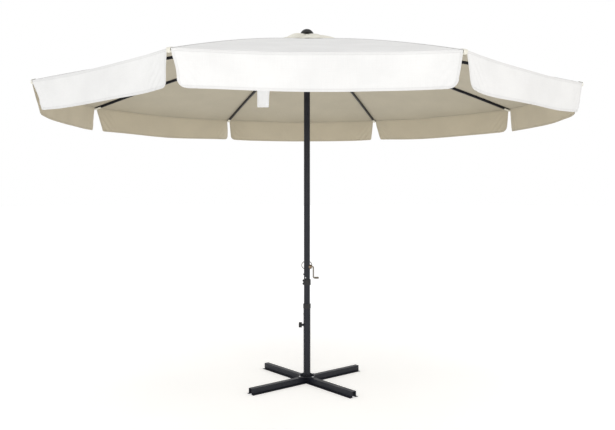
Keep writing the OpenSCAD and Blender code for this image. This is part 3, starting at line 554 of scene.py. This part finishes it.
def vent_flap(i):
    """One panel of the vent cap: held at the ribs, puffed up between them."""
    a, seed = gore_angle(i), (i * 0.53) % 1
    nj, ni = 26, 29
    v = np.linspace(0, 1, nj)[:, None] * np.ones((1, ni))
    s = np.linspace(-1, 1, ni)[None, :] * np.ones((nj, 1))
    end = CAP_RHO - CAP_SCALLOP * (1 - s**2)
    start = STEM_R * np.cos(HALF * s)
    rho = start + (end - start) * v
    y = rho * TAN * s
    top = CAP_HIGH + (CAP_LOW - CAP_HIGH) * v
    lowest = skin(rho) + CAP_GAP
    way = np.degrees(a + np.arctan2(y, rho))
    billow = np.zeros_like(rho)
    for middle, wide, size in BILLOWS:
        billow += size * np.exp(-((((way - middle + 180) % 360 - 180) / wide) ** 2))
    lift = np.sin(math.pi * v**1.25) ** 0.9
    top = top - CAP_SINK * lift
    drop = (top - lowest) * np.clip((v - 0.72) / 0.28, 0, 1) ** 1.5
    z = np.maximum(top - drop + PUFF * billow * lift, lowest)
    z = z + 0.0012 * np.sin(9 * s + 6.3 * seed) * v**2 * (1 - s**4)
    p = rho[..., None] * outward(a) + y[..., None] * sideways(a) + z[..., None] * UP
    side = rho * TAN * (1 - np.abs(s))
    near = np.minimum(side, end - rho)
    along = np.where(side <= end - rho, rho, y)
    piece = shell(
        f"vent_panel_{i}", p, pair(y, rho), pair(near, along), f"gore_{i}",
        [CREAM_CAP, CREAM_IN_SHADED], outer=-1.0,
    )
    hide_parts("vent_cap")
    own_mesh(piece)


TAPE_W = 0.020  # width of the seam tape over a rib
TAPE_END = 0.004  # how far it stops short of the canopy's edges
TAPE_RISE = 0.0012  # height of its upper face over the panels


def seam(i):
    """The tape that covers the seam over a rib, from the vent to the corner."""
    a = rib_angle(i)
    nj, ni = 90, 7
    first, last = RHO_IN / COS + TAPE_END, RHO_OUT / COS - TAPE_END
    r = np.linspace(first, last, nj)[:, None] * np.ones((1, ni))
    y = np.linspace(-TAPE_W / 2, TAPE_W / 2, ni)[None, :] * np.ones((nj, 1))
    z = skin(r * COS + np.abs(y) * SIN) + TAPE_RISE
    z = z + 0.0002 * np.sin(r * 240 + i) * (np.abs(y) < TAPE_W * 0.45)
    p = r[..., None] * outward(a) + y[..., None] * sideways(a) + z[..., None] * UP
    edge = pair(TAPE_W / 2 - np.abs(y) + 0.002, r)
    piece = shell(f"seam_tape_{i}", p, pair(y, r), edge, f"rib_{i}", outer=-1.0, thick=0.0009)


POCKET_TOP, POCKET_UNDER = 0.030, 0.070  # how far a rib's pocket reaches over and under the rib
POCKET_HALF = 0.0135  # half of its width, at its upper end
POCKET_OUT = 0.0035  # how far it stands out from the corner or the rib's end
POCKET_RISE = 0.0045  # height of its upper face over the panels
POCKET_DROP = 0.004  # how far it hangs below the rib


def pocket(i):
    """The pocket at a corner: over the panels, down over the rib's end and back under it."""
    a, seed = rib_angle(i), (i * 0.43) % 1
    rib = verts(f"rib_{i}")
    r_rib = rib @ outward(a)
    tip = rib[r_rib > r_rib.max() - 0.02]
    end = max(RHO_OUT / COS, float(r_rib.max())) + POCKET_OUT
    above = POCKET_RISE
    below = float(skin(r_rib.max() * COS) - tip[:, 2].min()) + POCKET_DROP
    # Its way round the end, as distance out from the end and height over the panels
    way = np.array([
        [-POCKET_TOP, above], [-0.004, above], [0.0, above - 0.004], [0.0015, -below / 2],
        [0.0, 0.006 - below], [-0.006, -below], [-POCKET_UNDER, -below],
    ])
    run = np.concatenate([[0], np.cumsum(np.linalg.norm(np.diff(way, axis=0), axis=1))])
    nj, ni = 61, 17
    q = np.linspace(0, run[-1], nj)
    r, dz = np.interp(q, run, way[:, 0]), np.interp(q, run, way[:, 1])
    smooth = np.array([0.25, 0.5, 0.25])
    for _ in range(4):
        r[1:-1], dz[1:-1] = np.convolve(r, smooth, "valid"), np.convolve(dz, smooth, "valid")
    w = np.linspace(-1, 1, ni)[None, :] * np.ones((nj, 1))
    half = POCKET_HALF - 0.0025 * (q / run[-1]) + 0.0007 * np.sin(q * 210 + 6.3 * seed)
    y = w * half[:, None]
    under = np.clip((q - run[4]) / 0.01, 0, 1)[:, None]
    front = np.exp(-(((q - run[3]) / 0.012) ** 2))[:, None]
    z = skin((end + r) * COS)[:, None] + dz[:, None]
    z = z + 0.010 * under * np.abs(w) ** 3 - np.abs(y) * 0.09 * (1 - under) * (q < run[2])[:, None]
    ripple = 0.0006 * np.sin(q * 400)[:, None] * front
    out = (end + r)[:, None] - 0.005 * front * np.abs(w) ** 3 + ripple
    p = out[..., None] * outward(a) + y[..., None] * sideways(a) + z[..., None] * UP
    near = np.minimum(POCKET_HALF * (1 - np.abs(w)), np.minimum(q, run[-1] - q)[:, None]) + 0.001
    along = q[:, None] + 0 * y
    piece = shell(
        f"rib_pocket_{i}", p, pair(y, along), pair(near, along), f"rib_{i}",
        [CREAM_CAP, CREAM_IN_SHADED], outer=-1.0,
    )


# Where the label's curl begins, from its middle, and how wide it is, as shares of its width
CURL_FROM, CURL_WIDTH = 0.22, 0.28


def care_label():
    """The blank label: it hangs by its top edge, and its right edge curls."""
    v = verts("care_label")
    low, high = v.min(0), v.max(0)
    top = v[v[:, 2] > high[2] - ON_EDGE]
    flat = top - top.mean(0)
    across = np.linalg.svd(flat[:, :2])[2][0]
    across = np.array([across[0], across[1], 0.0])
    if across[0] < 0:
        across = -across
    face = np.array([across[1], -across[0], 0.0])
    width = float(np.ptp(top @ across))
    height = float(high[2] - low[2])
    middle = (low + high) / 2
    nj, ni = 33, 25
    t = np.linspace(0, 1, nj)[:, None] * np.ones((1, ni))
    s = np.linspace(-0.5, 0.5, ni)[None, :] * np.ones((nj, 1))
    lean = 0.010 * t**2 + 0.004 * np.sin(5 * s + 2.4 * t) * t
    bent = np.clip((s - CURL_FROM) / CURL_WIDTH, 0, 1) ** 2
    curl = 0.020 * bent * t**0.6
    short = 0.012 * bent * t**0.6
    p = middle + ((s * width) - short)[..., None] * across + (lean + curl)[..., None] * face
    p[..., 2] = high[2] - t * height
    near = np.minimum(np.minimum((0.5 - np.abs(s)) * width, (1 - t) * height), t * height)
    piece = shell(
        "care_label_cloth", p, pair(s * width, t * height), pair(near, t * height), "label",
        [LABEL, LABEL], outer=1.0, thick=0.0005, slot="label_fabric",
    )
    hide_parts("care_label")


for i in range(1, SIDES + 1):
    gore(i)
    flap(i)
    vent_flap(i)
    seam(i)
    pocket(i)
care_label()

# ---------------------------------------------------------------- welds


BEAD = 0.0032  # radius of the weld bead
RIPPLES = 60  # ripples round the whole bead


def weld(name, radius, height, body):
    """A weld bead round the foot of a tube."""
    nj, ni = 240, 10
    j = np.linspace(0, 2 * math.pi, nj, endpoint=False)[:, None]
    k = np.linspace(0, 2 * math.pi, ni, endpoint=False)[None, :]
    size = BEAD * (1 + 0.10 * np.abs(np.sin(j * RIPPLES / 2)) + 0.08 * np.sin(3 * j + 1))
    r = radius + size * np.cos(k)
    p = np.stack([r * np.cos(j), r * np.sin(j), height + 0.8 * size * np.sin(k)], axis=2)
    faces = []
    for a in range(nj):
        this, following = a * ni, ((a + 1) % nj) * ni
        for b in range(ni):
            c = (b + 1) % ni
            faces.append((this + b, following + b, following + c, this + c))
    points = p.reshape(-1, 3)
    uv, kinds = {"weave": points[:, :2]}, [0] * len(faces)
    make(name, points, faces, kinds, [PAINT], uv, body, slot="frame_paint", sharp=80)


tube = np.hypot(*verts("base_tube")[:, :2].T).max()
plate_top = float(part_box("base_tube")[0].z)
weld("foot_weld", float(tube), plate_top, "base")

# ---------------------------------------------------------------- stage, lights and camera


FLOOR_R, HORIZON_R = 8.0, 60.0  # radii of the floor's inner disk and of its outer edge
FLOOR_Z = -0.0004  # just below the feet
FLOOR_GLOW = 0.40
SKY = 0.83
AIM = (0, 0, 1.8)  # what the lights point at
LIGHT_SIZE = 4.0


def floor():
    steps = 96
    ring = [
        (r * math.cos(2 * math.pi * k / steps), r * math.sin(2 * math.pi * k / steps), FLOOR_Z)
        for r in (FLOOR_R, HORIZON_R)
        for k in range(steps)
    ]
    faces = [tuple(range(steps))]
    faces += [(k, steps + k, steps + (k + 1) % steps, (k + 1) % steps) for k in range(steps)]
    mesh = bpy.data.meshes.new("studio_floor")
    mesh.from_pydata(ring, [], faces)
    obj = bpy.data.objects.new("studio_floor", mesh)
    bpy.context.collection.objects.link(obj)
    t = Nodes("studio_floor")
    cloud = t.ramp(t.noise(t.place(), 0.8, 3.0), 0.3, 0.7)
    tone = t.mix(cloud, (0.84, 0.84, 0.84), (0.88, 0.88, 0.88))
    t.base(Base_Color=tone, Roughness=0.9, Specular_IOR_Level=0.1)
    t.base(Emission_Color=(1.0, 1.0, 1.0, 1.0), Emission_Strength=FLOOR_GLOW)
    mesh.materials.append(t.mat)


def area_light(name, place, power, colour):
    data = bpy.data.lights.new(name, "AREA")
    data.shape, data.size, data.energy, data.color = "DISK", LIGHT_SIZE, power, colour
    obj = bpy.data.objects.new(name, data)
    bpy.context.collection.objects.link(obj)
    obj.location = place
    obj.rotation_mode = "QUATERNION"
    obj.rotation_quaternion = (Vector(AIM) - Vector(place)).to_track_quat("-Z", "Y")


def sky(strength):
    """White light all round, which the camera sees as plain white."""
    world = bpy.data.worlds.new("studio")
    world.use_nodes = True
    nodes, links = world.node_tree.nodes, world.node_tree.links
    light = nodes["Background"]
    light.inputs["Color"].default_value = (1.0, 1.0, 1.0, 1.0)
    light.inputs["Strength"].default_value = strength
    seen = nodes.new("ShaderNodeBackground")
    seen.inputs["Color"].default_value = (1.0, 1.0, 1.0, 1.0)
    path, mix = nodes.new("ShaderNodeLightPath"), nodes.new("ShaderNodeMixShader")
    links.new(path.outputs["Is Camera Ray"], mix.inputs[0])
    links.new(light.outputs[0], mix.inputs[1])
    links.new(seen.outputs[0], mix.inputs[2])
    links.new(mix.outputs[0], nodes["World Output"].inputs["Surface"])
    bpy.context.scene.world = world


floor()
sky(SKY)
area_light("key", (0.6, -9.0, 3.4), 125, (1.0, 1.0, 0.99))
area_light("fill_left", (-7.0, -4.0, 3.0), 2, (0.92, 0.95, 1.0))
area_light("fill_right", (7.0, -4.0, 3.0), 16, (1.0, 0.80, 0.60))

bpy.context.scene.view_settings.view_transform = "Standard"
bpy.context.scene.view_settings.look = "None"

# The camera, from a fit to the photograph's corners, legs' ends and finial
LENS, SENSOR = 40.56, 36.0  # mm
DISTANCE = 5.4375  # from the mast, along the floor
HEIGHT = 1.5228
AROUND = math.radians(5.64)  # how far it stands to the right of the part's front
DOWN = 0.0371  # how far it looks down, in radians
ASIDE = -0.0008  # how far it turns away from the mast, in radians
camera_data = bpy.data.cameras.new("camera")
camera_data.lens, camera_data.sensor_width = LENS, SENSOR
camera = bpy.data.objects.new("camera", camera_data)
bpy.context.collection.objects.link(camera)
camera.location = (DISTANCE * math.sin(AROUND), -DISTANCE * math.cos(AROUND), HEIGHT)
camera.rotation_euler = (math.radians(90) - DOWN, 0.0, AROUND + ASIDE)
bpy.context.scene.camera = camera
